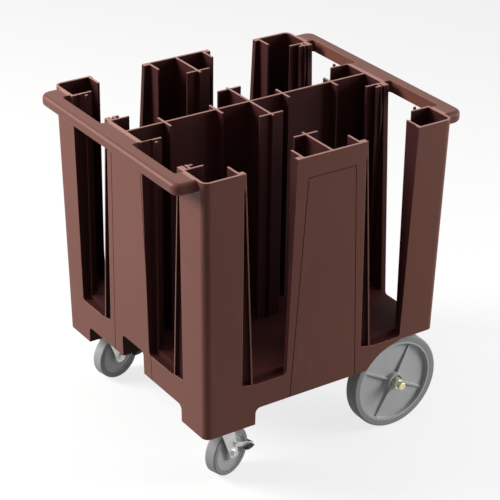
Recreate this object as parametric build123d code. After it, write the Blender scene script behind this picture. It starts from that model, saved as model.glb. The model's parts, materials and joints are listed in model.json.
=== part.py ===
from build123d import *
import os

os.makedirs("parts", exist_ok=True)

# Plate cart with four open columns. X runs along the near face, casters at low X,
# big wheels at high X. Y runs away from the near face. Z is up, the ground is Z = 0.

# ---------------------------------------------------------------- wheels and the heights they set
REAR_WHEEL_D = 254.0
CASTER_WHEEL_D = 127.0
FLOOR_Z = REAR_WHEEL_D + 30.0  # top of the floor that plates stand on
PAD_Z = CASTER_WHEEL_D + 42.0  # underside of the pad that takes each caster
COLUMN_H = 550.0  # wall height above the plate floor
RIM_Z = FLOOR_Z + COLUMN_H  # top of every wall

# ---------------------------------------------------------------- body, overall
BODY_LENGTH = 698.0  # along X at the rim
BODY_WIDTH = 692.0  # along Y at the rim
DRAFT = 12.0 / 600.0  # how far each face leans in per mm of drop
CORNER_R = 18.0  # vertical corners of the outer face
WALL = 5.5  # outer wall
RIB = 5.0  # inner walls
MIN_CORNER_R = 4.0

# ---------------------------------------------------------------- plate floor
FLOOR_T = 6.0
SILL_Z = FLOOR_Z - 13.0  # bottom edge of every slot
LEDGE_T = 4.0  # shelf that joins the sills to the floor
LEDGE_DEPTH = 19.0  # shelf reach inward from the outer face

# ---------------------------------------------------------------- inner walls
FIN_REACH = 222.0  # how near the middle the near and far fins come
FIN_BAR_Y = 235.0
FIN_BAR_HALF = 33.0
CROSS_REACH = 102.0  # half length of the middle cross wall
CROSS_BAR_Y = 92.0
SPINE_RIB_X = (96.0, 240.0)
SPINE_RIB_HALF = 29.0
SIDE_RETURN_X = (80.0, 252.0)  # walls that run in behind the near and far slots
SIDE_RETURN_DEPTH = 53.0  # how far they run in from the face
END_RETURN_Y = (74.0, 256.0)  # walls that run in behind the end slots
END_RETURN_DEPTH = 55.0
END_ARM_DEPTH = 22.0  # arm plane, measured in from the end face
END_ARM_TOP = 28.0  # arm length at the rim
END_ARM_LOW = 6.0  # arm length at the floor
END_ARM_PLUMB = 10.0  # upright stretch of the arm's edge above the floor
END_STUB_AT = 16.0  # rib on each arm, from the return wall
END_STUB_REACH = 14.0  # and how far it stands off the arm

# ---------------------------------------------------------------- slots
# Each slot is (low edge, high edge) at the rim and at the sill, plus the edge of
# the flat panel beside its scooped lip at the rim and at the sill.
SIDE_SLOTS = (
    ((-238.0, -98.0), (-206.0, -108.0), (-243.0, -236.0)),
    ((98.0, 247.0), (138.0, 231.0), (94.0, 111.0)),
)
END_SLOTS = (
    ((-234.0, -74.0), (-195.0, -79.0), (-241.0, -237.0)),
    ((93.0, 252.0), (137.0, 250.0), (84.0, 108.0)),
)
SLOT_CORNER_R = 9.0
LIP_T = 3.5  # standing lip between a slot and its scoop
SCOOP_DEPTH = 10.0
JAMB_DEPTH = 14.0  # thickness of the face beside the slots

# ---------------------------------------------------------------- lower edges
SKIRT_Z = FLOOR_Z - 81.0  # bottom of the near and far faces
FOOT_Z = PAD_Z - 11.0  # bottom of the caster feet
FOOT_REACH_X = 71.0  # inner end of each foot, from the kingpin
FOOT_REACH_Y = 49.0  # inner side of each foot, from the kingpin
FOOT_STEP_R = 14.0
NOTCH_HALF = 51.0  # half width of the notch in the low end
NOTCH_Z = FLOOR_Z - 19.0
NOTCH_R = 12.0
HIGH_END_Z = FLOOR_Z - 21.0  # bottom of the end with the big wheels
ARCH_GAP = 5.0  # wheel arch to the big wheel's tread
ARCH_FLAT_X = 27.0  # the arc gives way to a straight edge this far before the axle
ARCH_END_X = 6.0  # and that edge meets the bottom of the end this far before it
PAD_T = 8.0
PAD_RIB_T = 6.0
FOOT_WALL_Z = PAD_Z + 50.0  # top of the foot's two inner walls

# ---------------------------------------------------------------- panel grooves
GROOVE_W = 1.6
GROOVE_DEPTH = 1.2
SIDE_GROOVE = (66.0, 53.0, 96.0)  # half width at the top, drop below the rim, half width at the bottom
END_GROOVE = (67.0, 79.0, 89.0)

# ---------------------------------------------------------------- handles
HANDLE_OUT = 56.0  # outer side of the rail beyond the body's end
HANDLE_GAP = 23.0  # finger gap between the end face and the rail
HANDLE_HALF = BODY_WIDTH / 2 - 27.0  # half length along Y
HANDLE_H = 31.0
HANDLE_CORNER_R = 26.0
HANDLE_WALL = 5.0
HANDLE_EDGE_R = 11.0
HANDLE_DROP = 0.5  # rail top below the rim
WEB_HALF = 70.0  # half width of the middle web
GAP_END_Y = HANDLE_HALF - 57.0  # where the outer webs begin
GAP_R = 9.0

# ---------------------------------------------------------------- running gear
CLEAR = 0.05  # radial clearance of a running fit
FACE_GAP = 0.4  # side clearance between turning faces

REAR_WHEEL_W = 38.0
REAR_WHEEL_INSET = 106.5  # axle to the body's end at the rim
REAR_FACE_INSET = 32.5  # wheel's outer side face to the body's side at the rim
REAR_WHEEL_X = BODY_LENGTH / 2 - REAR_WHEEL_INSET
REAR_WHEEL_FACE_Y = BODY_WIDTH / 2 - REAR_FACE_INSET
REAR_AXLE_Z = REAR_WHEEL_D / 2
REAR_TYRE_T = 16.0
REAR_TYRE_EDGE_R = 5.0
REAR_RIM_T = 6.0
REAR_RIM_INSET = 0.5
REAR_WEB_T = 7.0
REAR_WEB_RECESS = 11.0
REAR_HUB_D = 46.0
REAR_HUB_OUT = 4.0  # hub beyond the outer side face
REAR_CUP_D = 37.0  # cup in the hub's outer end
REAR_CUP_DEPTH = 8.0
REAR_HUB_IN = 6.0
REAR_SPOKE_T = 5.0
REAR_SPOKE_DEPTH = 2.0  # spoke below each side face, at the middle
REAR_SPOKE_TIP = 3.0  # spoke above the web, at the rim
REAR_SPOKE_DEG = 62.0
REAR_BUSH_D = 24.0
REAR_BUSH_L = 17.0
REAR_BUSH_NOSE_D = 27.0  # collar that stands out of the cup
REAR_BUSH_NOSE_L = 18.0
REAR_BUSH_FLANGE_D = 34.0
REAR_BUSH_FLANGE_T = 2.0
AXLE_D = 15.9
AXLE_WASHER_D = 26.0
AXLE_WASHER_T = 2.0
AXLE_CAP_D = 20.0
AXLE_CAP_H = 15.0
AXLE_CAP_SOCKET = 9.0
AXLE_CAP_R = 3.0

BRACKET_INSET = 82.0  # middle of each axle bracket to the wheel's outer side face
BRACKET_Y = REAR_WHEEL_FACE_Y - BRACKET_INSET
BRACKET_W = 40.0
BRACKET_L = 92.0
BRACKET_T = 4.0
BRACKET_NOSE_R = 20.0
BRACKET_BOLT_X = 32.0
BRACKET_BOLT_D = 8.0
BOSS_D = 26.0
BOSS_H = 18.0
INSERT_D = 12.0
INSERT_L = 14.0
SPACER_D = 22.0

CASTER_WHEEL_W = 32.0
CASTER_TREAD_T = 13.0
CASTER_EDGE_R = 4.5
CASTER_TRAIL = 35.0
CASTER_INSET_X = 83.0  # kingpin to the body's end at the rim
CASTER_INSET_Y = 72.0  # kingpin to the body's side at the rim
CASTER_X = CASTER_INSET_X - BODY_LENGTH / 2
CASTER_Y = BODY_WIDTH / 2 - CASTER_INSET_Y
NEAR_SWIVEL_DEG = 17.0
FAR_SWIVEL_DEG = 11.0
CASTER_PLATE_L = 96.0
CASTER_PLATE_W = 76.0
CASTER_PLATE_T = 4.0
CASTER_PLATE_R = 8.0
CASTER_BOLT_X = 38.0
CASTER_BOLT_Y = 28.0
CASTER_BOLT_D = 8.0
BOLT_HEAD_AF = 13.0
BOLT_HEAD_H = 5.3
BOLT_NUT_H = 6.5
BALL_D = 6.0
BALL_COUNT = 16
BALL_RING_D = 44.0
RACE_GAP = 4.0  # between the top plate and the fork's crown
CROWN_D = 66.0
CROWN_T = 4.0
KINGPIN_D = 12.0
KINGPIN_HEAD_D = 22.0
KINGPIN_HEAD_T = 2.0
KINGPIN_NUT_AF = 19.0
KINGPIN_NUT_H = 8.0
FORK_T = 4.0
FORK_GAP = 4.0  # between the wheel's side and a leg
FORK_NOSE_R = 15.0
FORK_TOP_BACK = 20.0
FORK_TOP_FRONT = 29.0
SLEEVE_D = 16.0
CASTER_AXLE_D = 10.0
AXLE_HEAD_AF = 16.0
AXLE_HEAD_H = 6.4
AXLE_NUT_H = 8.0
AXLE_NUT_STAND = 2.0  # thread left beyond the nut
CASTER_HUB_D = 34.0
CASTER_RIM_T = 5.0
CASTER_RIM_INSET = 2.0
CASTER_WEB_T = 24.0
GUARD_D = 36.0
GUARD_T = 1.6
BRAKE_T = 3.0
BRAKE_PIVOT_X = 6.0  # brake pivot from the wheel axle, along the trail
BRAKE_PIVOT_Z = 22.0
BRAKE_PIVOT_D = 8.0
BRAKE_HEAD_D = 12.0
BRAKE_HEAD_T = 2.0
BRAKE_ARM_W = 13.0
BRAKE_SHOE_GAP = 4.0  # shoe to tread when released
BRAKE_SHOE_T = 4.0
BRAKE_SHOE_H = 12.0
BRAKE_SHOE_REACH = 8.0  # how far the shoe crosses past the wheel's middle
BRAKE_SHOE_DROP = 8.0  # shoe middle below the axle
BRAKE_PEDAL_X = 50.0  # pedal middle from the wheel axle, along the trail
BRAKE_PEDAL_DROP = 4.0  # pedal middle below the axle
BRAKE_PEDAL_L = 30.0
BRAKE_PEDAL_W = 9.0
BRAKE_PEDAL_H = 8.0
BRAKE_PEDAL_R = 0.8


# ================================================================ helpers
def hex_prism(across_flats, height):
    """Hexagonal prism standing on Z = 0."""
    return extrude(RegularPolygon(across_flats / 2, 6, major_radius=False), height)


def tube(outer_d, inner_d, height):
    """Ring standing on Z = 0."""
    return extrude(Circle(outer_d / 2) - Circle(inner_d / 2), height)


def rod(diameter, height):
    """Round bar standing on Z = 0."""
    return extrude(Circle(diameter / 2), height)


def save(node, shape):
    """Write one node as its own file, with its solids side by side."""
    solids = list(shape.solids())
    body = solids[0] if len(solids) == 1 else Compound(children=solids)
    body.label = node
    export_step(body, f"parts/{node}.step")


def save_group(node, shapes):
    """Write several separate solids as one node."""
    solids = [solid for shape in shapes for solid in shape.solids()]
    body = Compound(children=solids)
    body.label = node
    export_step(body, f"parts/{node}.step")


# ================================================================ body
def lean_at(z):
    return DRAFT * (RIM_Z - z)


def body_section(z, inset):
    length = BODY_LENGTH - 2 * lean_at(z) - 2 * inset
    width = BODY_WIDTH - 2 * lean_at(z) - 2 * inset
    radius = max(CORNER_R - inset, MIN_CORNER_R)
    return Plane.XY.offset(z) * RectangleRounded(length, width, radius)


def body_block(low_z, high_z, inset):
    """The body's leaning outline between two heights, set in by a wall."""
    return loft([body_section(low_z, inset), body_section(high_z, inset)], ruled=True)


def upright(x_range, y_range, z_range):
    """Box between two corners."""
    size = [high - low for low, high in (x_range, y_range, z_range)]
    middle = [(high + low) / 2 for low, high in (x_range, y_range, z_range)]
    return Pos(*middle) * Box(*size)


def wall_at_x(x, y_low, y_high, thickness=RIB):
    x_range = (x - thickness / 2, x + thickness / 2)
    return upright(x_range, (y_low, y_high), (FLOOR_Z - FLOOR_T / 2, RIM_Z))


def wall_at_y(y, x_low, x_high, thickness=RIB):
    y_range = (y - thickness / 2, y + thickness / 2)
    return upright((x_low, x_high), y_range, (FLOOR_Z - FLOOR_T / 2, RIM_Z))


def face_plane(side):
    """Plane whose x runs along a face's length and whose y is up, facing out of the body."""
    planes = {
        "near": Plane((0, 0, 0), x_dir=(1, 0, 0), z_dir=(0, -1, 0)),
        "low": Plane((0, 0, 0), x_dir=(0, -1, 0), z_dir=(-1, 0, 0)),
    }
    return planes[side]


def prism_through(points, side, depth_low, depth_high):
    """Prism over a closed outline drawn on a face, between two distances from the middle."""
    flip = -1.0 if side == "low" else 1.0
    outline = [(flip * u, v) for u, v in points]
    sketch = make_face(Polyline(*outline, close=True).edges())
    plane = face_plane(side).offset(depth_low)
    return extrude(plane * sketch, depth_high - depth_low)


def edge_at(z, rim_value, sill_value):
    """Slanting slot edge, carried on past the rim."""
    share = (z - SILL_Z) / (RIM_Z - SILL_Z)
    return sill_value + share * (rim_value - sill_value)


def slot_cutters(slot, side, half_size):
    """The opening of a slot and the scoop beside its lip, for one face."""
    rim, sill, flat = slot
    top = RIM_Z + 2.0
    low_edge = (edge_at(top, rim[0], sill[0]), sill[0])
    high_edge = (edge_at(top, rim[1], sill[1]), sill[1])
    outline = [(low_edge[0], top), (low_edge[1], SILL_Z), (high_edge[1], SILL_Z), (high_edge[0], top)]
    inner = half_size - lean_at(SILL_Z) - LEDGE_DEPTH
    opening = prism_through(outline, side, inner, half_size + 5.0)
    axis = Axis.Y if side == "near" else Axis.X
    upright_edges = opening.edges().filter_by(axis).group_by(Axis.Z)[0]
    opening = fillet(upright_edges, SLOT_CORNER_R)
    scoop_low = SILL_Z + 3.0
    scoop_top = RIM_Z - 40.0
    flat_top = edge_at(scoop_top, flat[0], flat[1])
    flat_low = edge_at(scoop_low, flat[0], flat[1])
    lip_top = edge_at(scoop_top, rim[0], sill[0]) - LIP_T
    lip_low = edge_at(scoop_low, rim[0], sill[0]) - LIP_T
    lip_top = max(lip_top, flat_top + 1.0)
    scoop_outline = [
        (flat_top, scoop_top),
        (flat_low, scoop_low + 5.0),
        (lip_low, scoop_low),
        (lip_top, scoop_top),
    ]
    scoop = prism_through(scoop_outline, side, inner, half_size + 5.0)
    skin = body_block(FOOT_Z, top, -2.0) - body_block(FOOT_Z - 1, top + 1, SCOOP_DEPTH)
    return [opening, scoop & skin]


def make_cart_body():
    half_l = BODY_LENGTH / 2
    half_w = BODY_WIDTH / 2

    shell = body_block(FOOT_Z, RIM_Z, 0) - body_block(FOOT_Z - 1, RIM_Z + 1, WALL)

    # thicker faces beside the slots
    jambs = body_block(SILL_Z - LEDGE_T, RIM_Z, WALL / 2)
    jambs = jambs - body_block(SILL_Z - LEDGE_T - 1, RIM_Z + 1, JAMB_DEPTH)
    jamb_zones = []
    for sign in (-1, 1):
        x_low, x_high = sorted((sign * (SIDE_RETURN_X[0] - RIB / 2), sign * (SIDE_RETURN_X[1] + RIB / 2)))
        y_low, y_high = sorted((sign * (END_RETURN_Y[0] - RIB / 2), sign * (END_RETURN_Y[1] + RIB / 2)))
        jamb_zones.append(upright((x_low, x_high), (-half_w, half_w), (0, RIM_Z + 5)))
        jamb_zones.append(upright((-half_l, half_l), (y_low, y_high), (0, RIM_Z + 5)))
    jambs = jambs & Part() + jamb_zones

    floor = body_block(FLOOR_Z - FLOOR_T, FLOOR_Z, WALL / 2)
    ledge = body_block(SILL_Z - LEDGE_T, FLOOR_Z - FLOOR_T / 2, WALL / 2)
    ledge = ledge - body_block(SILL_Z - LEDGE_T - 1, FLOOR_Z, LEDGE_DEPTH + LEDGE_T)

    walls = [wall_at_y(0, -half_l, half_l), wall_at_x(0, -CROSS_REACH, CROSS_REACH)]
    for sign in (-1, 1):
        fin = sorted((sign * FIN_REACH, sign * half_w))
        walls.append(wall_at_x(0, fin[0], fin[1]))
        walls.append(wall_at_y(sign * FIN_BAR_Y, -FIN_BAR_HALF, FIN_BAR_HALF))
        walls.append(wall_at_y(sign * CROSS_BAR_Y, -FIN_BAR_HALF, FIN_BAR_HALF))
        for rib_x in SPINE_RIB_X:
            walls.append(wall_at_x(sign * rib_x, -SPINE_RIB_HALF, SPINE_RIB_HALF))
        for face in (-1, 1):
            for x in SIDE_RETURN_X:
                span = sorted((face * (half_w - SIDE_RETURN_DEPTH), face * half_w))
                walls.append(wall_at_x(sign * x, span[0], span[1]))
            for y in END_RETURN_Y:
                span = sorted((face * (half_l - END_RETURN_DEPTH), face * half_l))
                walls.append(wall_at_y(sign * y, span[0], span[1]))

    # arms on the end returns, long at the rim and short at the floor
    arm_x = half_l - END_ARM_DEPTH
    for sign in (-1, 1):
        for y, toward in zip(END_RETURN_Y, (1, -1)):
            points = [
                (sign * y, FLOOR_Z - FLOOR_T / 2),
                (sign * (y + toward * END_ARM_LOW), FLOOR_Z - FLOOR_T / 2),
                (sign * (y + toward * END_ARM_LOW), FLOOR_Z + END_ARM_PLUMB),
                (sign * (y + toward * END_ARM_TOP), RIM_Z),
                (sign * y, RIM_Z),
            ]
            arm = prism_through(points, "low", arm_x - RIB / 2, arm_x + RIB / 2)
            walls.append(arm)
            walls.append(Rot(0, 0, 180) * arm)
            stub = wall_at_y(sign * (y + toward * END_STUB_AT), -arm_x, -arm_x + END_STUB_REACH)
            walls.append(stub)
            walls.append(Rot(0, 0, 180) * stub)

    body = shell + [jambs, floor, ledge]
    body = body + [wall & body_block(SILL_Z - LEDGE_T, RIM_Z, WALL / 2) for wall in walls]

    # caster pads, their ribs and the two inner walls of each foot
    feet = []
    foot_low_x = -half_l
    foot_high_x = CASTER_X + FOOT_REACH_X
    foot_side_y = CASTER_Y - FOOT_REACH_Y
    for sign in (-1, 1):
        y_in = sign * foot_side_y
        y_out = sign * half_w
        y_low, y_high = sorted((y_in, y_out))
        feet.append(upright((foot_low_x, foot_high_x), (y_low, y_high), (PAD_Z, PAD_Z + PAD_T)))
        feet.append(upright((foot_high_x - WALL, foot_high_x), (y_low, y_high), (FOOT_Z, FOOT_WALL_Z)))
        side = sorted((y_in, y_in + sign * WALL))
        feet.append(upright((foot_low_x, foot_high_x), (side[0], side[1]), (FOOT_Z, FOOT_WALL_Z)))
        rib_y = sign * CASTER_Y
        pad_top = (PAD_Z + PAD_T / 2, FLOOR_Z - FLOOR_T / 2)
        rib_span = (foot_low_x, foot_high_x - WALL / 2)
        feet.append(upright(rib_span, (rib_y - PAD_RIB_T / 2, rib_y + PAD_RIB_T / 2), pad_top))
        feet.append(upright((CASTER_X - PAD_RIB_T / 2, CASTER_X + PAD_RIB_T / 2), (y_low, y_high), pad_top))
    # walls that run in from the two sides of the notch, under the floor
    for sign in (-1, 1):
        side = sorted((sign * NOTCH_HALF, sign * (NOTCH_HALF + RIB)))
        span = (foot_low_x, foot_high_x)
        feet.append(upright(span, (side[0], side[1]), (SKIRT_Z, FLOOR_Z - FLOOR_T / 2)))
    body = body + [foot & body_block(FOOT_Z, FLOOR_Z, WALL / 2) for foot in feet]

    # lower edges
    far_out = half_l + 50.0
    low = FOOT_Z - 10.0
    arch_r = REAR_WHEEL_D / 2 + ARCH_GAP
    arch_x = REAR_WHEEL_X - ARCH_FLAT_X
    arch_z = REAR_AXLE_Z + (arch_r**2 - ARCH_FLAT_X**2) ** 0.5
    skirt = [
        (foot_high_x, low),
        (far_out, low),
        (far_out, HIGH_END_Z),
        (REAR_WHEEL_X - ARCH_END_X, HIGH_END_Z),
        (arch_x, arch_z - ARCH_GAP / 4),
        (arch_x, SKIRT_Z),
        (foot_high_x, SKIRT_Z),
    ]
    skirt_cut = prism_through(skirt, "near", -far_out, far_out)
    step_edges = skirt_cut.edges().filter_by(Axis.Y)
    step_edges = step_edges.filter_by_position(Axis.X, foot_high_x - 1, foot_high_x + 1)
    skirt_cut = fillet(step_edges.group_by(Axis.Z)[-1], FOOT_STEP_R)
    arch_cut = Pos(REAR_WHEEL_X, far_out, REAR_AXLE_Z) * (Rot(90, 0, 0) * rod(2 * arch_r, 2 * far_out))
    body = body - skirt_cut - arch_cut
    end_cut = [(-foot_side_y, low), (foot_side_y, low), (foot_side_y, SKIRT_Z), (-foot_side_y, SKIRT_Z)]
    end_cutter = prism_through(end_cut, "low", -foot_high_x + 1.0, far_out)
    end_cutter = fillet(end_cutter.edges().filter_by(Axis.X).group_by(Axis.Z)[-1], FOOT_STEP_R)
    notch = [(-NOTCH_HALF, low), (NOTCH_HALF, low), (NOTCH_HALF, NOTCH_Z), (-NOTCH_HALF, NOTCH_Z)]
    notch_cutter = prism_through(notch, "low", half_l - lean_at(FOOT_Z) - 2 * WALL, far_out)
    notch_cutter = fillet(notch_cutter.edges().filter_by(Axis.X).group_by(Axis.Z)[-1], NOTCH_R)
    body = body - end_cutter - notch_cutter

    # bosses for the axle brackets
    bosses = []
    for sign in (-1, 1):
        for step in (-1, 1):
            boss_z = FLOOR_Z - FLOOR_T - BOSS_H
            place = Pos(REAR_WHEEL_X + step * BRACKET_BOLT_X, sign * BRACKET_Y, boss_z)
            bosses.append(place * rod(BOSS_D, BOSS_H + FLOOR_T / 2))
    body = body + bosses

    # slots and scoops
    cutters = []
    for slot in SIDE_SLOTS:
        cutters.extend(slot_cutters(slot, "near", half_w))
    for slot in END_SLOTS:
        cutters.extend(slot_cutters(slot, "low", half_l))
    turned = [Rot(0, 0, 180) * cutter for cutter in cutters]
    body = body - cutters - turned

    # shallow grooves that frame the middle panels
    grooves = []
    for side, spec, half_size in (("near", SIDE_GROOVE, half_w), ("low", END_GROOVE, half_l)):
        top_half, drop, low_half = spec
        top_z = RIM_Z - drop
        for sign in (-1, 1):
            points = [
                (sign * top_half, top_z),
                (sign * low_half, SKIRT_Z - 2.0),
                (sign * (low_half + GROOVE_W), SKIRT_Z - 2.0),
                (sign * (top_half + GROOVE_W), top_z),
            ]
            grooves.append(groove_strip(points, side, half_size))
        if side == "near":
            reach = top_half + GROOVE_W
            low_z, high_z = top_z - GROOVE_W, top_z
            points = [(-reach, low_z), (reach, low_z), (reach, high_z), (-reach, high_z)]
            grooves.append(groove_strip(points, side, half_size))
    skin = body_block(FOOT_Z - 1, RIM_Z + 1, -2.0) - body_block(FOOT_Z - 2, RIM_Z + 2, GROOVE_DEPTH)
    grooves = [groove & skin for groove in grooves]
    body = body - grooves - [Rot(0, 0, 180) * groove for groove in grooves]

    # bolt holes
    holes = []
    for sign in (-1, 1):
        for dx in (-CASTER_BOLT_X, CASTER_BOLT_X):
            for dy in (-CASTER_BOLT_Y, CASTER_BOLT_Y):
                place = Pos(CASTER_X + dx, sign * CASTER_Y + dy, PAD_Z - 1)
                holes.append(place * rod(CASTER_BOLT_D + 2 * CLEAR, PAD_T + 2))
        for step in (-1, 1):
            hole_z = FLOOR_Z - FLOOR_T - BOSS_H - 1
            place = Pos(REAR_WHEEL_X + step * BRACKET_BOLT_X, sign * BRACKET_Y, hole_z)
            holes.append(place * rod(INSERT_D, INSERT_L + 1))
    body = body - holes

    handles = [make_handle(), Rot(0, 0, 180) * make_handle()]
    return body + handles


def groove_strip(points, side, half_size):
    return prism_through(points, side, half_size - 40.0, half_size + 5.0)


def make_handle():
    """The rail at the low end, with its webs, hollow from below."""
    inner = BODY_LENGTH / 2 - WALL / 2
    outer = BODY_LENGTH / 2 + HANDLE_OUT
    gap_out = BODY_LENGTH / 2 + HANDLE_GAP
    blank = Pos(-(inner + outer) / 2, 0) * Rectangle(outer - inner, 2 * HANDLE_HALF)
    corners = blank.vertices().group_by(Axis.X)[0]
    blank = fillet(corners, HANDLE_CORNER_R)
    low = RIM_Z - HANDLE_DROP - HANDLE_H
    block = Pos(0, 0, low) * extrude(blank, HANDLE_H)
    outside = block.edges().filter_by(Axis.Z, reverse=True)
    outside = outside.filter_by_position(Axis.X, -outer - 1, -inner - 1, inclusive=(True, True))
    block = fillet(outside, HANDLE_EDGE_R)
    core = offset(blank, -HANDLE_WALL, kind=Kind.INTERSECTION)
    gaps = []
    hollow_bars = []
    for sign in (-1, 1):
        middle = sign * (WEB_HALF + GAP_END_Y) / 2
        width = GAP_END_Y - WEB_HALF
        gap_plan = RectangleRounded(gap_out - inner + 10, width, GAP_R)
        gap_plan = Pos(-(gap_out + inner - 10) / 2, middle) * gap_plan
        gaps.append(Pos(0, 0, low - 1) * extrude(gap_plan, HANDLE_H + 2))
        bar_plan = offset(gap_plan, HANDLE_WALL, kind=Kind.INTERSECTION)
        hollow_bars.append(bar_plan)
    core = core - hollow_bars
    hollow = Pos(0, 0, low - 1) * extrude(core, HANDLE_H - HANDLE_WALL + 1)
    return block - hollow - gaps


save("cart_body", make_cart_body())

# ================================================================ big wheels and axle
TURN_OUT = {"near": Rot(90, 0, 0), "far": Rot(-90, 0, 0)}
SIDE_SIGN = {"near": -1.0, "far": 1.0}
TYRE_INNER_D = REAR_WHEEL_D - 2 * REAR_TYRE_T
HUB_OUT_Z = REAR_HUB_OUT
HUB_IN_Z = -REAR_WHEEL_W - REAR_HUB_IN
CUP_Z = HUB_OUT_Z - REAR_CUP_DEPTH
BUSH_OUT_Z = CUP_Z + REAR_BUSH_NOSE_L
BUSH_IN_Z = HUB_IN_Z - REAR_BUSH_FLANGE_T
WASHER_Z = BUSH_OUT_Z + FACE_GAP
CAP_Z = WASHER_Z + AXLE_WASHER_T + FACE_GAP
AXLE_END_Z = CAP_Z + AXLE_CAP_SOCKET
BRACKET_TOP_Z = FLOOR_Z - FLOOR_T - BOSS_H


def on_rear_wheel(shape, side):
    """Carry a piece from its own axis, outward along Z, to its wheel's place."""
    place = Pos(REAR_WHEEL_X, SIDE_SIGN[side] * REAR_WHEEL_FACE_Y, REAR_AXLE_Z)
    return place * (TURN_OUT[side] * shape)


def make_rear_tyre():
    tyre = Pos(0, 0, -REAR_WHEEL_W) * tube(REAR_WHEEL_D, TYRE_INNER_D, REAR_WHEEL_W)
    outer_edges = tyre.edges().filter_by(GeomType.CIRCLE).sort_by(SortBy.RADIUS)[-2:]
    return fillet(outer_edges, REAR_TYRE_EDGE_R)


def make_rear_core():
    rim_w = REAR_WHEEL_W - 2 * REAR_RIM_INSET
    rim_inner_d = TYRE_INNER_D - 2 * REAR_RIM_T
    rim = Pos(0, 0, -REAR_WHEEL_W + REAR_RIM_INSET) * tube(TYRE_INNER_D, rim_inner_d, rim_w)
    web_z = -REAR_WEB_RECESS - REAR_WEB_T
    web = Pos(0, 0, web_z) * rod(TYRE_INNER_D - REAR_RIM_T, REAR_WEB_T)
    hub = Pos(0, 0, HUB_IN_Z) * rod(REAR_HUB_D, HUB_OUT_Z - HUB_IN_Z)
    reach = (TYRE_INNER_D - REAR_RIM_T) / 2
    tip_high = web_z + REAR_WEB_T + REAR_SPOKE_TIP
    tip_low = web_z - REAR_SPOKE_TIP
    outline = [
        (-reach, tip_high),
        (0, -REAR_SPOKE_DEPTH),
        (reach, tip_high),
        (reach, tip_low),
        (0, REAR_SPOKE_DEPTH - REAR_WHEEL_W),
        (-reach, tip_low),
    ]
    spoke = extrude(make_face(Polyline(*outline, close=True).edges()), REAR_SPOKE_T)
    spoke = Pos(0, REAR_SPOKE_T / 2, 0) * (Rot(90, 0, 0) * spoke)
    spokes = [Rot(0, 0, REAR_SPOKE_DEG + turn) * spoke for turn in (0, 90)]
    core = rim + [web, hub] + spokes
    bore = Pos(0, 0, HUB_IN_Z - 1) * rod(REAR_BUSH_D, HUB_OUT_Z - HUB_IN_Z + 2)
    cup = Pos(0, 0, CUP_Z) * rod(REAR_CUP_D, REAR_CUP_DEPTH + 1)
    return core - bore - cup


def make_rear_bushes():
    bore_d = AXLE_D + 2 * CLEAR
    outer = Pos(0, 0, CUP_Z - REAR_BUSH_L) * tube(REAR_BUSH_D, bore_d, REAR_BUSH_L)
    outer = outer + Pos(0, 0, CUP_Z) * tube(REAR_BUSH_NOSE_D, bore_d, REAR_BUSH_NOSE_L)
    inner = Pos(0, 0, HUB_IN_Z) * tube(REAR_BUSH_D, bore_d, REAR_BUSH_L)
    inner = inner + Pos(0, 0, BUSH_IN_Z) * tube(REAR_BUSH_FLANGE_D, bore_d, REAR_BUSH_FLANGE_T)
    return [outer, inner]


def make_axle_cap():
    cap = rod(AXLE_CAP_D, AXLE_CAP_H)
    cap = fillet(cap.edges().sort_by(Axis.Z)[-1], AXLE_CAP_R)
    cap = cap - Pos(0, 0, -1) * rod(AXLE_D, AXLE_CAP_SOCKET + 1)
    return Pos(0, 0, CAP_Z) * cap


def make_axle_washer():
    return Pos(0, 0, WASHER_Z) * tube(AXLE_WASHER_D, AXLE_D + 2 * CLEAR, AXLE_WASHER_T)


def make_axle_spacer(side):
    start = BRACKET_Y + BRACKET_W / 2
    end = REAR_WHEEL_FACE_Y + BUSH_IN_Z - FACE_GAP
    spacer = tube(SPACER_D, AXLE_D + 2 * CLEAR, end - start)
    return Pos(REAR_WHEEL_X, SIDE_SIGN[side] * start, REAR_AXLE_Z) * (TURN_OUT[side] * spacer)


def make_rear_axle():
    half = REAR_WHEEL_FACE_Y + AXLE_END_Z
    bar = rod(AXLE_D, 2 * half)
    return Pos(REAR_WHEEL_X, half, REAR_AXLE_Z) * (Rot(90, 0, 0) * bar)


def make_axle_bracket(side):
    middle_y = SIDE_SIGN[side] * BRACKET_Y
    plate_z = BRACKET_TOP_Z - BRACKET_T / 2
    plate = Pos(REAR_WHEEL_X, middle_y, plate_z) * Box(BRACKET_L, BRACKET_W, BRACKET_T)
    outline = [
        (REAR_WHEEL_X - BRACKET_L / 2, BRACKET_TOP_Z),
        (REAR_WHEEL_X - BRACKET_NOSE_R, REAR_AXLE_Z),
        (REAR_WHEEL_X + BRACKET_NOSE_R, REAR_AXLE_Z),
        (REAR_WHEEL_X + BRACKET_L / 2, BRACKET_TOP_Z),
    ]
    cheeks = []
    for edge in (-1, 1):
        inner = middle_y + edge * (BRACKET_W / 2 - BRACKET_T / 2)
        depth = -inner - BRACKET_T / 2
        cheek = prism_through(outline, "near", depth, depth + BRACKET_T)
        nose = Rot(90, 0, 0) * rod(2 * BRACKET_NOSE_R, BRACKET_T)
        nose = Pos(REAR_WHEEL_X, inner + BRACKET_T / 2, REAR_AXLE_Z) * nose
        cheeks.extend([cheek, nose])
    bracket = plate + cheeks
    bore = Pos(REAR_WHEEL_X, middle_y + BRACKET_W, REAR_AXLE_Z)
    bracket = bracket - bore * (Rot(90, 0, 0) * rod(AXLE_D + 2 * CLEAR, 2 * BRACKET_W))
    holes = []
    for step in (-1, 1):
        place = Pos(REAR_WHEEL_X + step * BRACKET_BOLT_X, middle_y, BRACKET_TOP_Z - 2 * BRACKET_T)
        holes.append(place * rod(BRACKET_BOLT_D + 2 * CLEAR, 3 * BRACKET_T))
    return bracket - holes


def bracket_bolt_places():
    places = []
    for sign in (-1, 1):
        for step in (-1, 1):
            places.append(Pos(REAR_WHEEL_X + step * BRACKET_BOLT_X, sign * BRACKET_Y, 0))
    return places


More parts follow.
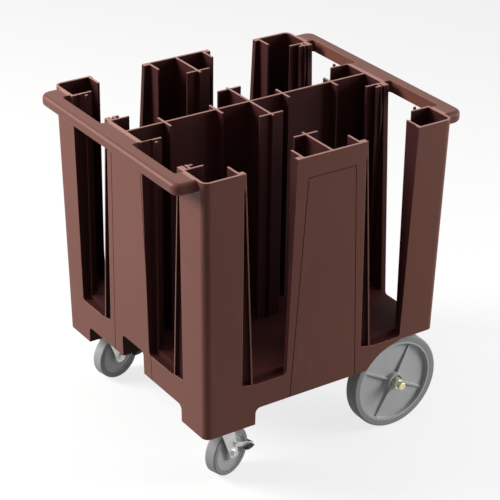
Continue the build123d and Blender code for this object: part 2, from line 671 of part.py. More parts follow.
def make_bracket_bolt():
    under = BRACKET_TOP_Z - BRACKET_T
    head = Pos(0, 0, under - BOLT_HEAD_H) * hex_prism(BOLT_HEAD_AF, BOLT_HEAD_H)
    shank = rod(BRACKET_BOLT_D, BOLT_HEAD_H / 2 + BRACKET_T + INSERT_L - 1.0)
    return head + Pos(0, 0, under - BOLT_HEAD_H / 2) * shank


def make_bracket_insert():
    return Pos(0, 0, BRACKET_TOP_Z) * tube(INSERT_D, BRACKET_BOLT_D + 2 * CLEAR, INSERT_L)


save("rear_axle", make_rear_axle())
save_group("axle_bracket_bolts", [place * make_bracket_bolt() for place in bracket_bolt_places()])
save_group("axle_bracket_inserts", [place * make_bracket_insert() for place in bracket_bolt_places()])
save_group("axle_washers", [on_rear_wheel(make_axle_washer(), side) for side in TURN_OUT])
save_group("axle_spacers", [make_axle_spacer(side) for side in TURN_OUT])
save_group("axle_caps", [on_rear_wheel(make_axle_cap(), side) for side in TURN_OUT])
for side in TURN_OUT:
    save(f"{side}_axle_bracket", make_axle_bracket(side))
    save(f"{side}_rear_tyre", on_rear_wheel(make_rear_tyre(), side))
    save(f"{side}_rear_wheel_core", on_rear_wheel(make_rear_core(), side))
    save_group(f"{side}_rear_wheel_bushes", [on_rear_wheel(bush, side) for bush in make_rear_bushes()])

# ================================================================ casters
SWIVEL_DEG = {"near": NEAR_SWIVEL_DEG, "far": FAR_SWIVEL_DEG}
CASTER_AXLE_Z = CASTER_WHEEL_D / 2
PLATE_LOW_Z = PAD_Z - CASTER_PLATE_T
CROWN_TOP_Z = PLATE_LOW_Z - RACE_GAP
CROWN_LOW_Z = CROWN_TOP_Z - CROWN_T
BALL_Z = PLATE_LOW_Z - RACE_GAP / 2
LEG_INNER_Y = CASTER_WHEEL_W / 2 + FORK_GAP
LEG_OUTER_Y = LEG_INNER_Y + FORK_T
HUB_HALF = LEG_INNER_Y - GUARD_T - FACE_GAP
TREAD_INNER_D = CASTER_WHEEL_D - 2 * CASTER_TREAD_T
PIVOT_X = CASTER_TRAIL + BRAKE_PIVOT_X
PIVOT_Z = CASTER_AXLE_Z + BRAKE_PIVOT_Z
SHOE_X = CASTER_TRAIL + CASTER_WHEEL_D / 2 + BRAKE_SHOE_GAP


def caster_place(side):
    return Pos(CASTER_X, SIDE_SIGN[side] * CASTER_Y, 0)


def swivelled(shape, side):
    """Carry a piece from the kingpin's own frame, trail along X, to its caster."""
    return caster_place(side) * (Rot(0, 0, SWIVEL_DEG[side]) * shape)


def across(x, z, y_low, length, sketch):
    """Extrude a sketch along Y from y_low, centred on (x, z)."""
    return Pos(x, y_low + length, z) * (Rot(90, 0, 0) * extrude(sketch, length))


def bolt_offsets():
    return [(dx, dy) for dx in (-CASTER_BOLT_X, CASTER_BOLT_X) for dy in (-CASTER_BOLT_Y, CASTER_BOLT_Y)]


def ball_track():
    return Pos(0, 0, BALL_Z) * Torus(BALL_RING_D / 2, BALL_D / 2 + CLEAR)


def make_caster_plate():
    blank = RectangleRounded(CASTER_PLATE_L, CASTER_PLATE_W, CASTER_PLATE_R)
    plate = Pos(0, 0, PLATE_LOW_Z) * extrude(blank, CASTER_PLATE_T)
    bolt_hole = rod(CASTER_BOLT_D + 2 * CLEAR, CASTER_PLATE_T + 2)
    cuts = [Pos(dx, dy, PLATE_LOW_Z - 1) * bolt_hole for dx, dy in bolt_offsets()]
    cuts.append(Pos(0, 0, PLATE_LOW_Z - 1) * rod(KINGPIN_D, CASTER_PLATE_T + 2))
    cuts.append(Pos(0, 0, PAD_Z - KINGPIN_HEAD_T) * rod(KINGPIN_HEAD_D, KINGPIN_HEAD_T + 1))
    return plate - cuts - ball_track()


def make_kingpin():
    foot_z = CROWN_LOW_Z - FACE_GAP - KINGPIN_NUT_H
    pin = Pos(0, 0, foot_z) * rod(KINGPIN_D, PAD_Z - foot_z)
    return pin + Pos(0, 0, PAD_Z - KINGPIN_HEAD_T) * rod(KINGPIN_HEAD_D, KINGPIN_HEAD_T)


def make_kingpin_nut():
    foot_z = CROWN_LOW_Z - FACE_GAP - KINGPIN_NUT_H
    nut = hex_prism(KINGPIN_NUT_AF, KINGPIN_NUT_H)
    nut = nut - Pos(0, 0, -1) * rod(KINGPIN_D, KINGPIN_NUT_H + 2)
    return Pos(0, 0, foot_z) * nut


def make_balls():
    step = 360.0 / BALL_COUNT
    ball = Pos(BALL_RING_D / 2, 0, BALL_Z) * Sphere(BALL_D / 2)
    return [Rot(0, 0, turn * step) * ball for turn in range(BALL_COUNT)]


def make_fork():
    crown = Pos(0, 0, CROWN_LOW_Z) * rod(CROWN_D, CROWN_T)
    outline = [
        (-FORK_TOP_BACK, CROWN_TOP_Z),
        (CASTER_TRAIL - FORK_NOSE_R, CASTER_AXLE_Z),
        (CASTER_TRAIL + FORK_NOSE_R, CASTER_AXLE_Z),
        (FORK_TOP_FRONT, CROWN_TOP_Z),
    ]
    legs = []
    for y_low in (-LEG_OUTER_Y, LEG_INNER_Y):
        profile = make_face(Polyline(*outline, close=True).edges())
        legs.append(across(0, 0, y_low, FORK_T, profile))
        legs.append(across(CASTER_TRAIL, CASTER_AXLE_Z, y_low, FORK_T, Circle(FORK_NOSE_R)))
    fork = crown + legs
    fork = fork - Pos(0, 0, CROWN_LOW_Z - 1) * rod(KINGPIN_D + 2 * CLEAR, CROWN_T + 2)
    axle_hole = Circle(CASTER_AXLE_D / 2 + CLEAR)
    fork = fork - across(CASTER_TRAIL, CASTER_AXLE_Z, -2 * LEG_OUTER_Y, 4 * LEG_OUTER_Y, axle_hole)
    fork = fork - across(PIVOT_X, PIVOT_Z, -2 * LEG_OUTER_Y, 2 * LEG_OUTER_Y, Circle(BRAKE_PIVOT_D / 2))
    return fork - ball_track()


def make_caster_axle_bolt():
    grip = 2 * LEG_OUTER_Y + AXLE_NUT_H + AXLE_NUT_STAND
    shank = across(CASTER_TRAIL, CASTER_AXLE_Z, -LEG_OUTER_Y, grip, Circle(CASTER_AXLE_D / 2))
    head = RegularPolygon(AXLE_HEAD_AF / 2, 6, major_radius=False)
    return shank + across(CASTER_TRAIL, CASTER_AXLE_Z, -LEG_OUTER_Y - AXLE_HEAD_H, AXLE_HEAD_H, head)


def make_caster_axle_nut():
    ring = RegularPolygon(AXLE_HEAD_AF / 2, 6, major_radius=False) - Circle(CASTER_AXLE_D / 2 + CLEAR)
    return across(CASTER_TRAIL, CASTER_AXLE_Z, LEG_OUTER_Y, AXLE_NUT_H, ring)


def make_axle_sleeve():
    ring = Circle(SLEEVE_D / 2) - Circle(CASTER_AXLE_D / 2 + CLEAR)
    return across(CASTER_TRAIL, CASTER_AXLE_Z, -LEG_INNER_Y, 2 * LEG_INNER_Y, ring)


def make_thread_guards():
    ring = Circle(GUARD_D / 2) - Circle(SLEEVE_D / 2 + CLEAR)
    starts = (-LEG_INNER_Y, LEG_INNER_Y - GUARD_T)
    return [across(CASTER_TRAIL, CASTER_AXLE_Z, y_low, GUARD_T, ring) for y_low in starts]


def make_caster_tread():
    ring = Circle(CASTER_WHEEL_D / 2) - Circle(TREAD_INNER_D / 2)
    tread = across(CASTER_TRAIL, CASTER_AXLE_Z, -CASTER_WHEEL_W / 2, CASTER_WHEEL_W, ring)
    outer_edges = tread.edges().filter_by(GeomType.CIRCLE).sort_by(SortBy.RADIUS)[-2:]
    return fillet(outer_edges, CASTER_EDGE_R)


def make_caster_core():
    rim_w = CASTER_WHEEL_W - 2 * CASTER_RIM_INSET
    rim_ring = Circle(TREAD_INNER_D / 2) - Circle(TREAD_INNER_D / 2 - CASTER_RIM_T)
    bore = Circle(SLEEVE_D / 2 + CLEAR)
    web_ring = Circle(TREAD_INNER_D / 2 - CASTER_RIM_T / 2) - bore
    hub_ring = Circle(CASTER_HUB_D / 2) - bore
    rim = across(CASTER_TRAIL, CASTER_AXLE_Z, -rim_w / 2, rim_w, rim_ring)
    web = across(CASTER_TRAIL, CASTER_AXLE_Z, -CASTER_WEB_T / 2, CASTER_WEB_T, web_ring)
    hub = across(CASTER_TRAIL, CASTER_AXLE_Z, -HUB_HALF, 2 * HUB_HALF, hub_ring)
    return rim + [web, hub]


def make_brake_lever():
    arm_low_y = -LEG_OUTER_Y - CLEAR - BRAKE_T
    end_x = SHOE_X + BRAKE_SHOE_T
    end_z = CASTER_AXLE_Z - BRAKE_SHOE_DROP
    outline = [
        (PIVOT_X, PIVOT_Z + BRAKE_ARM_W / 2),
        (PIVOT_X, PIVOT_Z - BRAKE_ARM_W / 2),
        (end_x, end_z - BRAKE_SHOE_H / 2),
        (end_x, end_z + BRAKE_SHOE_H / 2),
    ]
    arm = across(0, 0, arm_low_y, BRAKE_T, make_face(Polyline(*outline, close=True).edges()))
    eye = across(PIVOT_X, PIVOT_Z, arm_low_y, BRAKE_T, Circle(BRAKE_ARM_W / 2))
    shoe_len = -arm_low_y + BRAKE_SHOE_REACH
    shoe = Pos(SHOE_X + BRAKE_SHOE_T / 2, arm_low_y + shoe_len / 2, end_z)
    shoe = shoe * Box(BRAKE_SHOE_T, shoe_len, BRAKE_SHOE_H)
    lever = arm + [eye, shoe]
    pivot_hole = Circle(BRAKE_PIVOT_D / 2 + CLEAR)
    return lever - across(PIVOT_X, PIVOT_Z, 2 * arm_low_y, -2 * arm_low_y, pivot_hole)


def make_brake_pedal():
    """Leaf-shaped foot pad fixed to the outer face of the lever."""
    low_y = -LEG_OUTER_Y - CLEAR - BRAKE_T - BRAKE_PEDAL_W
    leaf = Ellipse(BRAKE_PEDAL_L / 2, BRAKE_PEDAL_H / 2)
    pedal_z = CASTER_AXLE_Z - BRAKE_PEDAL_DROP
    pedal = across(CASTER_TRAIL + BRAKE_PEDAL_X, pedal_z, low_y, BRAKE_PEDAL_W, leaf)
    outer = pedal.faces().sort_by(Axis.Y)[0].edges()
    return fillet(outer, BRAKE_PEDAL_R)


def make_brake_rivet():
    head_y = -LEG_OUTER_Y - BRAKE_T - 2 * CLEAR - BRAKE_HEAD_T
    shank = across(PIVOT_X, PIVOT_Z, head_y, -LEG_INNER_Y - head_y, Circle(BRAKE_PIVOT_D / 2))
    return shank + across(PIVOT_X, PIVOT_Z, head_y, BRAKE_HEAD_T, Circle(BRAKE_HEAD_D / 2))


def make_caster_bolt():
    head = Pos(0, 0, PLATE_LOW_Z - BOLT_HEAD_H) * hex_prism(BOLT_HEAD_AF, BOLT_HEAD_H)
    length = CASTER_PLATE_T + PAD_T + BOLT_NUT_H + 2.0
    return head + Pos(0, 0, PLATE_LOW_Z) * rod(CASTER_BOLT_D, length)


def make_caster_bolt_nut():
    nut = hex_prism(BOLT_HEAD_AF, BOLT_NUT_H)
    nut = nut - Pos(0, 0, -1) * rod(CASTER_BOLT_D + 2 * CLEAR, BOLT_NUT_H + 2)
    return Pos(0, 0, PAD_Z + PAD_T) * nut


for side in TURN_OUT:
    spots = [caster_place(side) * Pos(dx, dy, 0) for dx, dy in bolt_offsets()]
    save(f"{side}_caster_plate", caster_place(side) * make_caster_plate())
    save_group(f"{side}_caster_bolts", [spot * make_caster_bolt() for spot in spots])
    save_group(f"{side}_caster_bolt_nuts", [spot * make_caster_bolt_nut() for spot in spots])
    save(f"{side}_kingpin", caster_place(side) * make_kingpin())
    save(f"{side}_kingpin_nut", caster_place(side) * make_kingpin_nut())
    save_group(f"{side}_swivel_balls", [caster_place(side) * ball for ball in make_balls()])
    save(f"{side}_fork", swivelled(make_fork(), side))
    save(f"{side}_caster_axle_bolt", swivelled(make_caster_axle_bolt(), side))
    save(f"{side}_caster_axle_nut", swivelled(make_caster_axle_nut(), side))
    save(f"{side}_axle_sleeve", swivelled(make_axle_sleeve(), side))
    save_group(f"{side}_thread_guards", [swivelled(guard, side) for guard in make_thread_guards()])
    save(f"{side}_caster_tread", swivelled(make_caster_tread(), side))
    save(f"{side}_caster_wheel_core", swivelled(make_caster_core(), side))
    save(f"{side}_brake_lever", swivelled(make_brake_lever(), side))
    save(f"{side}_brake_pedal", swivelled(make_brake_pedal(), side))
    save(f"{side}_brake_rivet", swivelled(make_brake_rivet(), side))
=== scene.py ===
import bpy
import json
import math
from mathutils import Matrix, Vector


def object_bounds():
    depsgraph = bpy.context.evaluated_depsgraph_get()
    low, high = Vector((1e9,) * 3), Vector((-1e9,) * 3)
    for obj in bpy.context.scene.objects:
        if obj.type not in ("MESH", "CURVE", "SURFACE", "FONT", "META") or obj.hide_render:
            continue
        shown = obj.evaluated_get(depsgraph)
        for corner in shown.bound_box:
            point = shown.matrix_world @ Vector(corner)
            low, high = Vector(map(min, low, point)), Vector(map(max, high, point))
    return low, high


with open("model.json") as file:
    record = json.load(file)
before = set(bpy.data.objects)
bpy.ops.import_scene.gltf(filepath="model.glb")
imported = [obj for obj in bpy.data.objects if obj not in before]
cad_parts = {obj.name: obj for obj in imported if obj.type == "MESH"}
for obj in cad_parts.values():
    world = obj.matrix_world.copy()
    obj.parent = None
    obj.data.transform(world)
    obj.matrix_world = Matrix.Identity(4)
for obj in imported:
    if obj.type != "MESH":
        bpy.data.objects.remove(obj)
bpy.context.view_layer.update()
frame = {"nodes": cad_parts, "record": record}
nodes = frame["nodes"]


scene = bpy.context.scene
scene.view_settings.view_transform = "Standard"

# ---------------------------------------------------------------- values
# Lengths are in metres. The camera was fitted to points of the photo.
CAMERA_PLACE = (-2.29139, -3.42555, 2.53992)
PITCH = math.radians(27.11)
YAW = math.radians(33.85)
ROLL = math.radians(0.75)
LENS_MM = 132.727
SENSOR_MM = 36.0
FAR_CLIP = 50.0

# Lamps: name, place, what it aims at, side of its square, watts, colour.
WHITE = (1.0, 1.0, 1.0)
WARM_WHITE = (1.0, 0.985, 0.96)
LAMPS = (
    ("key_left", (-3.0, 2.2, 2.4), (0.0, 0.0, 0.45), 1.8, 275.0, WARM_WHITE),
    ("fill_right", (2.2, -1.6, 1.2), (0.0, -0.1, 0.45), 1.3, 56.0, WHITE),
    ("top_soft", (0.2, 0.3, 3.6), (0.0, 0.0, 0.5), 2.6, 30.0, WHITE),
)
WORLD_LIGHT = 0.08

FLOOR_REACH = 30.0
FLOOR_SEEN = (0.90, 0.90, 0.90, 1.0)
FLOOR_BOUNCE = (0.28, 0.28, 0.28, 1.0)
FLOOR_ROUGHNESS = 0.9
FLOOR_GLOW_SHARE = 0.78  # share of plain white in the floor that is seen

# The body's outer face, for telling the outside from the duller inside, which gets painted shade.
_, (reach_x, reach_y, reach_z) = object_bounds()
RAIL_REACH = 0.056  # each end rail stands out this far
BODY_HALF_X = reach_x - RAIL_REACH
BODY_HALF_Y = reach_y
BODY_RIM_Z = reach_z
BODY_LEAN = 0.02
BODY_CORNER = 0.018

# Grooves on the middle panels: half width at the top, top height, half width at the bottom.
SIDE_GROOVE = (0.066, 0.781, 0.096)
END_GROOVE = (0.067, 0.755, 0.089)
GROOVE_LOW_Z = 0.201
GROOVE_HALF_W = 0.0008
# Painted shade in the grooves of the middle panels.
GROOVE_SHADE = 0.7
GROOVE_SHADE_FADE = (0.0020, 0.0009)  # distance from the groove's middle: no painted shade, full painted shade
GROOVE_HIGHLIGHT_FADE = (0.0028, 0.0045)  # distance from it: no painted edge highlight, full painted edge highlight
GROOVE_TOP_FADE = 0.0002
GROOVE_BAR_FADE = (0.0018, 0.0014)  # past the top corner: no painted shade, full painted shade

# Colours of the moulded plastic.
OUTSIDE_DARK = (0.116, 0.039, 0.027, 1.0)
OUTSIDE_LIGHT = (0.146, 0.052, 0.037, 1.0)
SCUFF = (0.235, 0.115, 0.092, 1.0)
# Painted highlight, put on the sharp outer edges and along the rim tops.
PAINTED_HIGHLIGHT = (0.40, 0.215, 0.185, 1.0)
# Painted shade, put on the inner faces and in the panel grooves.
SHADE_INSIDE_DARK = (0.022, 0.0016, 0.0014, 1.0)
SHADE_INSIDE_LIGHT = (0.032, 0.0036, 0.0028, 1.0)

# Each pair of the moulded plastic gives where a look starts and where it is full.
SHADE_INSIDE_FADE = (0.0005, 0.00115)  # depth below the outer face, for the painted shade of the inside
SKIN_FADE = (0.0009, 0.0004)  # depth of the painted edge highlight
RAIL_FADE = (-0.004, -0.008)  # depth too, below zero past the outer face
RIM_FADE = (0.0012, 0.0004)  # drop below the rim, for the painted highlight on the rim tops
EDGE_FADE = (0.985, 0.80)  # cosine between the rounded normal and the flat one, for the painted edge highlight
SCUFF_FADE = (0.56, 0.80)
SCUFF_SHARE = 0.22
SCUFF_STRETCH = (1.0, 1.0, 0.16)
# Share of the painted rim highlight taken off the end rails.
RAIL_HIGHLIGHT_CUT = 0.85
BODY_ROUGHNESS = (0.36, 0.56)
INSIDE_DULL = 0.25
BODY_SPECULAR = 0.18
BODY_BUMP = 0.16
BODY_BEVEL = 0.0018

# Noise on the moulded plastic: scale, detail, roughness.
TONE_NOISE = (2.4, 5.0, 0.6)
SCUFF_NOISE = (26.0, 6.0, 0.7)
GRAIN_NOISE = (460.0, 3.0, 0.6)

BEVEL_SAMPLES = 6
BUMP_HEIGHT = 0.0006


# ---------------------------------------------------------------- camera
def photo_camera():
    forward = Vector((math.sin(YAW) * math.cos(PITCH), math.cos(YAW) * math.cos(PITCH), -math.sin(PITCH)))
    level_right = Vector((math.cos(YAW), -math.sin(YAW), 0.0))
    level_up = level_right.cross(forward)
    right = level_right * math.cos(ROLL) + level_up * math.sin(ROLL)
    up = level_up * math.cos(ROLL) - level_right * math.sin(ROLL)
    data = bpy.data.cameras.new("photo_camera")
    data.sensor_width = SENSOR_MM
    data.lens = LENS_MM
    data.clip_end = FAR_CLIP
    camera = bpy.data.objects.new("photo_camera", data)
    scene.collection.objects.link(camera)
    axes = Matrix((right, up, -forward)).transposed().to_4x4()
    camera.matrix_world = Matrix.Translation(CAMERA_PLACE) @ axes
    scene.camera = camera


# ---------------------------------------------------------------- shader nodes
def math_node(tree, operation, first, second=None):
    node = tree.nodes.new("ShaderNodeMath")
    node.operation = operation
    for socket, value in zip(node.inputs, (first, second)):
        if value is None:
            continue
        if isinstance(value, (int, float)):
            socket.default_value = value
        else:
            tree.links.new(value, socket)
    return node.outputs["Value"]


def ramp(tree, source, low, high):
    """The source's 0 to 1, stretched from low to high."""
    node = tree.nodes.new("ShaderNodeMapRange")
    node.inputs["To Min"].default_value = low
    node.inputs["To Max"].default_value = high
    tree.links.new(source, node.inputs["Value"])
    return node.outputs["Result"]


def band(tree, value, start, end):
    """Smooth step from 0 at start to 1 at end."""
    node = tree.nodes.new("ShaderNodeMapRange")
    node.interpolation_type = "SMOOTHSTEP"
    node.inputs["From Min"].default_value = start
    node.inputs["From Max"].default_value = end
    tree.links.new(value, node.inputs["Value"])
    return node.outputs["Result"]


def mix_colour(tree, factor, first, second):
    node = tree.nodes.new("ShaderNodeMix")
    node.data_type = "RGBA"
    tree.links.new(factor, node.inputs["Factor"])
    for socket, colour in (("A", first), ("B", second)):
        if isinstance(colour, tuple):
            node.inputs[socket].default_value = colour
        else:
            tree.links.new(colour, node.inputs[socket])
    return node.outputs["Result"]


def noise(tree, scale, detail, roughness, stretch=(1.0, 1.0, 1.0)):
    """Noise on the object's own coordinates."""
    coords = tree.nodes.new("ShaderNodeTexCoord")
    mapping = tree.nodes.new("ShaderNodeMapping")
    mapping.inputs["Scale"].default_value = stretch
    tree.links.new(coords.outputs["Object"], mapping.inputs["Vector"])
    texture = tree.nodes.new("ShaderNodeTexNoise")
    texture.inputs["Scale"].default_value = scale
    texture.inputs["Detail"].default_value = detail
    texture.inputs["Roughness"].default_value = roughness
    tree.links.new(mapping.outputs["Vector"], texture.inputs["Vector"])
    return texture.outputs["Fac"]


def rounded_normal(tree, radius):
    bevel = tree.nodes.new("ShaderNodeBevel")
    bevel.samples = BEVEL_SAMPLES
    bevel.inputs["Radius"].default_value = radius
    return bevel.outputs["Normal"]


def set_relief(tree, shader, height, strength, normal):
    """Fine bumps over the rounded edges, or over the plain surface where normal is None."""
    relief = tree.nodes.new("ShaderNodeBump")
    relief.inputs["Strength"].default_value = strength
    relief.inputs["Distance"].default_value = BUMP_HEIGHT
    tree.links.new(height, relief.inputs["Height"])
    if normal is not None:
        tree.links.new(normal, relief.inputs["Normal"])
    tree.links.new(relief.outputs["Normal"], shader.inputs["Normal"])


def seen_white(tree):
    """One for the rays that see the background straight, in a reflection or through glass."""
    path = tree.nodes.new("ShaderNodeLightPath")
    straight = math_node(tree, "MAXIMUM", path.outputs["Is Camera Ray"], path.outputs["Is Glossy Ray"])
    return math_node(tree, "MAXIMUM", straight, path.outputs["Is Transmission Ray"])


# ---------------------------------------------------------------- light
def area_light(name, place, target, side, power, colour):
    data = bpy.data.lights.new(name, "AREA")
    data.shape = "RECTANGLE"
    data.size = side
    data.size_y = side
    data.energy = power
    data.color = colour
    lamp = bpy.data.objects.new(name, data)
    scene.collection.objects.link(lamp)
    lamp.location = place
    lamp.rotation_euler = (Vector(target) - Vector(place)).to_track_quat("-Z", "Y").to_euler()
    lamp.visible_camera = False


def studio_world():
    """Low light all round, and plain white where the background itself is seen."""
    world = bpy.data.worlds.new("studio")
    scene.world = world
    world.use_nodes = True
    tree = world.node_tree
    background = tree.nodes["Background"]
    background.inputs["Color"].default_value = (1.0, 1.0, 1.0, 1.0)
    tree.links.new(ramp(tree, seen_white(tree), WORLD_LIGHT, 1.0), background.inputs["Strength"])


# ---------------------------------------------------------------- materials
def new_material(name):
    material = bpy.data.materials.new(name)
    material.use_nodes = True
    tree = material.node_tree
    return material, tree, tree.nodes["Principled BSDF"]


def surface(
    name, dark, light, rough, metallic=0.0, grain=180.0, bump=0.1,
    round_edges=0.0, blotch=3.0, specular=0.5, stretch=(1.0, 1.0, 1.0),
):
    """Two tones mixed by a broad blotch, with fine grain in the roughness and the bump."""
    material, tree, shader = new_material(name)
    broad = noise(tree, blotch, 5.0, 0.6)
    fine = noise(tree, grain, 3.0, 0.6, stretch)
    colour = mix_colour(tree, ramp(tree, broad, -0.35, 1.35), dark, light)
    tree.links.new(colour, shader.inputs["Base Color"])
    tree.links.new(ramp(tree, fine, *rough), shader.inputs["Roughness"])
    shader.inputs["Metallic"].default_value = metallic
    shader.inputs["Specular IOR Level"].default_value = specular
    normal = rounded_normal(tree, round_edges) if round_edges > 0.0 else None
    set_relief(tree, shader, fine, bump, normal)
    return material


def depth_in_body(tree, away, height):
    """How far a point lies inside the body's leaning, round-cornered outer face."""
    lean = math_node(tree, "MULTIPLY", math_node(tree, "SUBTRACT", BODY_RIM_Z, height), BODY_LEAN)
    past = {}
    square = {}
    for axis, half in (("X", BODY_HALF_X), ("Y", BODY_HALF_Y)):
        reach = math_node(tree, "SUBTRACT", half - BODY_CORNER, lean)
        past[axis] = math_node(tree, "SUBTRACT", away[axis], reach)
        square[axis] = math_node(tree, "POWER", math_node(tree, "MAXIMUM", past[axis], 0.0), 2.0)
    inner = math_node(tree, "MINIMUM", math_node(tree, "MAXIMUM", past["X"], past["Y"]), 0.0)
    outer = math_node(tree, "SQRT", math_node(tree, "ADD", square["X"], square["Y"]))
    outside = math_node(tree, "SUBTRACT", math_node(tree, "ADD", inner, outer), BODY_CORNER)
    return math_node(tree, "MULTIPLY", outside, -1.0)


def sharp_edges(tree, normal):
    """One where the rounded normal turns away from the flat one."""
    geometry = tree.nodes.new("ShaderNodeNewGeometry")
    dot = tree.nodes.new("ShaderNodeVectorMath")
    dot.operation = "DOT_PRODUCT"
    tree.links.new(normal, dot.inputs[0])
    tree.links.new(geometry.outputs["Normal"], dot.inputs[1])
    return band(tree, dot.outputs["Value"], *EDGE_FADE)


def grooves(tree, away, height):
    """The painted shade in the middle panels' grooves, and one where no groove is near."""
    lines = []
    for axis, (top_half, top_z, low_half) in (("X", SIDE_GROOVE), ("Y", END_GROOVE)):
        slope = (low_half - top_half) / (top_z - GROOVE_LOW_Z)
        at_ground = top_half + GROOVE_HALF_W + slope * top_z
        line = math_node(tree, "SUBTRACT", at_ground, math_node(tree, "MULTIPLY", height, slope))
        off = math_node(tree, "ABSOLUTE", math_node(tree, "SUBTRACT", away[axis], line))
        lines.append((off, band(tree, height, top_z + GROOVE_TOP_FADE, top_z - GROOVE_TOP_FADE)))
    top_half, top_z, _ = SIDE_GROOVE
    off = math_node(tree, "ABSOLUTE", math_node(tree, "SUBTRACT", height, top_z - GROOVE_HALF_W))
    no_dirt, full_dirt = GROOVE_BAR_FADE
    lines.append((off, band(tree, away["X"], top_half + no_dirt, top_half + full_dirt)))
    groove_shade = 0.0
    clear = 1.0
    for off, along in lines:
        near = math_node(tree, "MULTIPLY", band(tree, off, *GROOVE_SHADE_FADE), along)
        groove_shade = math_node(tree, "MAXIMUM", groove_shade, near)
        clear = math_node(tree, "MULTIPLY", clear, band(tree, off, *GROOVE_HIGHLIGHT_FADE))
    return math_node(tree, "MULTIPLY", groove_shade, GROOVE_SHADE), clear


def body_plastic():
    """Moulded brown plastic: smooth outside, duller inside, with painted shade on the inner faces and in
    the grooves, and painted highlight on its edges and rim.
    """
    material, tree, shader = new_material("moulded_brown_plastic")
    coords = tree.nodes.new("ShaderNodeTexCoord")
    split = tree.nodes.new("ShaderNodeSeparateXYZ")
    tree.links.new(coords.outputs["Object"], split.inputs["Vector"])
    height = split.outputs["Z"]
    away = {axis: math_node(tree, "ABSOLUTE", split.outputs[axis]) for axis in ("X", "Y")}
    depth = depth_in_body(tree, away, height)
    inside = band(tree, depth, *SHADE_INSIDE_FADE)
    skin = band(tree, depth, *SKIN_FADE)
    rim = band(tree, height, *(BODY_RIM_Z - drop for drop in RIM_FADE))
    rail = band(tree, depth, *RAIL_FADE)
    groove_shade, clear = grooves(tree, away, height)
    normal = rounded_normal(tree, BODY_BEVEL)

    tone = ramp(tree, noise(tree, *TONE_NOISE), -0.3, 1.3)
    outside_colour = mix_colour(tree, tone, OUTSIDE_DARK, OUTSIDE_LIGHT)
    shade_colour = mix_colour(tree, tone, SHADE_INSIDE_DARK, SHADE_INSIDE_LIGHT)
    scuffed = band(tree, noise(tree, *SCUFF_NOISE, SCUFF_STRETCH), *SCUFF_FADE)
    scuffed = math_node(tree, "MULTIPLY", scuffed, SCUFF_SHARE)
    outside_colour = mix_colour(tree, scuffed, outside_colour, SCUFF)
    # Painted highlight on the sharp outer edges, kept off the grooves.
    edge_highlight = math_node(tree, "MULTIPLY", math_node(tree, "MULTIPLY", sharp_edges(tree, normal), skin), clear)
    outside_colour = mix_colour(tree, edge_highlight, outside_colour, PAINTED_HIGHLIGHT)
    # Painted shade in the grooves.
    outside_colour = mix_colour(tree, groove_shade, outside_colour, shade_colour)
    # Painted shade on the inner faces.
    colour = mix_colour(tree, inside, outside_colour, shade_colour)
    off_rail = math_node(tree, "SUBTRACT", 1.0, math_node(tree, "MULTIPLY", rail, RAIL_HIGHLIGHT_CUT))
    # Painted highlight along the rim tops, less on the end rails.
    colour = mix_colour(tree, math_node(tree, "MULTIPLY", rim, off_rail), colour, PAINTED_HIGHLIGHT)
    tree.links.new(colour, shader.inputs["Base Color"])

    fine = noise(tree, *GRAIN_NOISE)
    dull = math_node(tree, "MULTIPLY", inside, INSIDE_DULL)
    roughness = math_node(tree, "ADD", ramp(tree, fine, *BODY_ROUGHNESS), dull)
    tree.links.new(roughness, shader.inputs["Roughness"])
    shader.inputs["Specular IOR Level"].default_value = BODY_SPECULAR
    set_relief(tree, shader, fine, BODY_BUMP, normal)
    return material


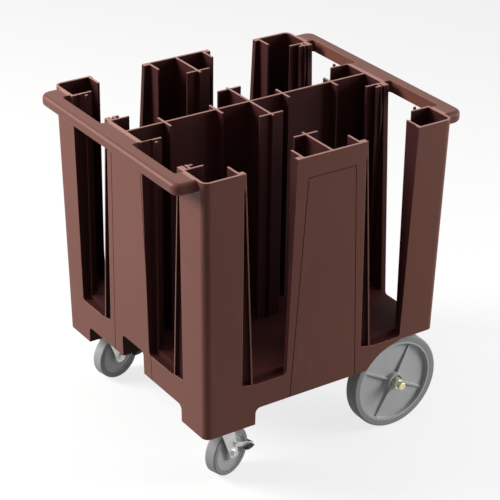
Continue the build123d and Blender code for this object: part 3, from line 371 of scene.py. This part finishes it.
def part_materials():
    """A material for each finish that the record names."""
    return {
        "body_plastic": body_plastic(),
        "tyre_grey": surface(
            "grey_rubber_tread",
            (0.27, 0.275, 0.278, 1.0),
            (0.315, 0.32, 0.323, 1.0),
            (0.55, 0.75),
            grain=260.0,
            bump=0.22,
            round_edges=0.001,
            blotch=9.0,
            specular=0.35,
        ),
        "wheel_core_grey": surface(
            "grey_wheel_plastic",
            (0.43, 0.435, 0.44, 1.0),
            (0.50, 0.505, 0.51, 1.0),
            (0.38, 0.55),
            grain=320.0,
            bump=0.12,
            round_edges=0.001,
            blotch=8.0,
        ),
        "zinc": surface(
            "zinc_plate",
            (0.50, 0.50, 0.49, 1.0),
            (0.68, 0.68, 0.66, 1.0),
            (0.24, 0.44),
            metallic=1.0,
            grain=140.0,
            bump=0.06,
            round_edges=0.0005,
            blotch=26.0,
        ),
        "yellow_zinc": surface(
            "yellow_zinc",
            (0.62, 0.60, 0.26, 1.0),
            (0.80, 0.78, 0.50, 1.0),
            (0.22, 0.40),
            metallic=0.9,
            grain=160.0,
            bump=0.06,
            round_edges=0.0006,
            blotch=40.0,
        ),
        "steel": surface(
            "bright_steel",
            (0.52, 0.52, 0.53, 1.0),
            (0.64, 0.64, 0.65, 1.0),
            (0.20, 0.34),
            metallic=1.0,
            grain=220.0,
            bump=0.05,
            stretch=(1.0, 0.05, 1.0),
        ),
        "brass": surface(
            "turned_brass",
            (0.60, 0.42, 0.16, 1.0),
            (0.74, 0.55, 0.25, 1.0),
            (0.25, 0.40),
            metallic=1.0,
            grain=220.0,
            bump=0.05,
        ),
        "nylon": surface(
            "white_nylon",
            (0.62, 0.62, 0.58, 1.0),
            (0.74, 0.74, 0.70, 1.0),
            (0.35, 0.50),
            grain=260.0,
            bump=0.08,
            blotch=20.0,
        ),
        "pedal_rubber": surface(
            "black_pedal_rubber",
            (0.012, 0.012, 0.013, 1.0),
            (0.030, 0.030, 0.032, 1.0),
            (0.50, 0.72),
            grain=300.0,
            bump=0.25,
            round_edges=0.0008,
            blotch=30.0,
            specular=0.4,
        ),
    }


# ---------------------------------------------------------------- floor
def pale_floor():
    """A pale floor that keeps the cart's shadow and is partly plain white where it is seen."""
    corners = [(x * FLOOR_REACH, y * FLOOR_REACH, 0.0) for x, y in ((-1, -1), (1, -1), (1, 1), (-1, 1))]
    mesh = bpy.data.meshes.new("floor")
    mesh.from_pydata(corners, [], [(0, 1, 2, 3)])
    floor = bpy.data.objects.new("floor", mesh)
    scene.collection.objects.link(floor)
    material, tree, shader = new_material("pale_floor")
    seen = seen_white(tree)
    tree.links.new(mix_colour(tree, seen, FLOOR_BOUNCE, FLOOR_SEEN), shader.inputs["Base Color"])
    shader.inputs["Roughness"].default_value = FLOOR_ROUGHNESS
    white = tree.nodes.new("ShaderNodeEmission")
    white.inputs["Color"].default_value = (1.0, 1.0, 1.0, 1.0)
    white.inputs["Strength"].default_value = 1.0
    blend = tree.nodes.new("ShaderNodeMixShader")
    tree.links.new(math_node(tree, "MULTIPLY", seen, FLOOR_GLOW_SHARE), blend.inputs["Fac"])
    tree.links.new(shader.outputs["BSDF"], blend.inputs[1])
    tree.links.new(white.outputs["Emission"], blend.inputs[2])
    tree.links.new(blend.outputs["Shader"], tree.nodes["Material Output"].inputs["Surface"])
    mesh.materials.append(material)
    return floor


photo_camera()
for lamp_values in LAMPS:
    area_light(*lamp_values)
studio_world()
finishes = part_materials()
for part in frame["record"]["subparts"]:
    node = nodes[part["node"]]
    node.data.materials.clear()
    node.data.materials.append(finishes[part["material_slot"]])
pale_floor()
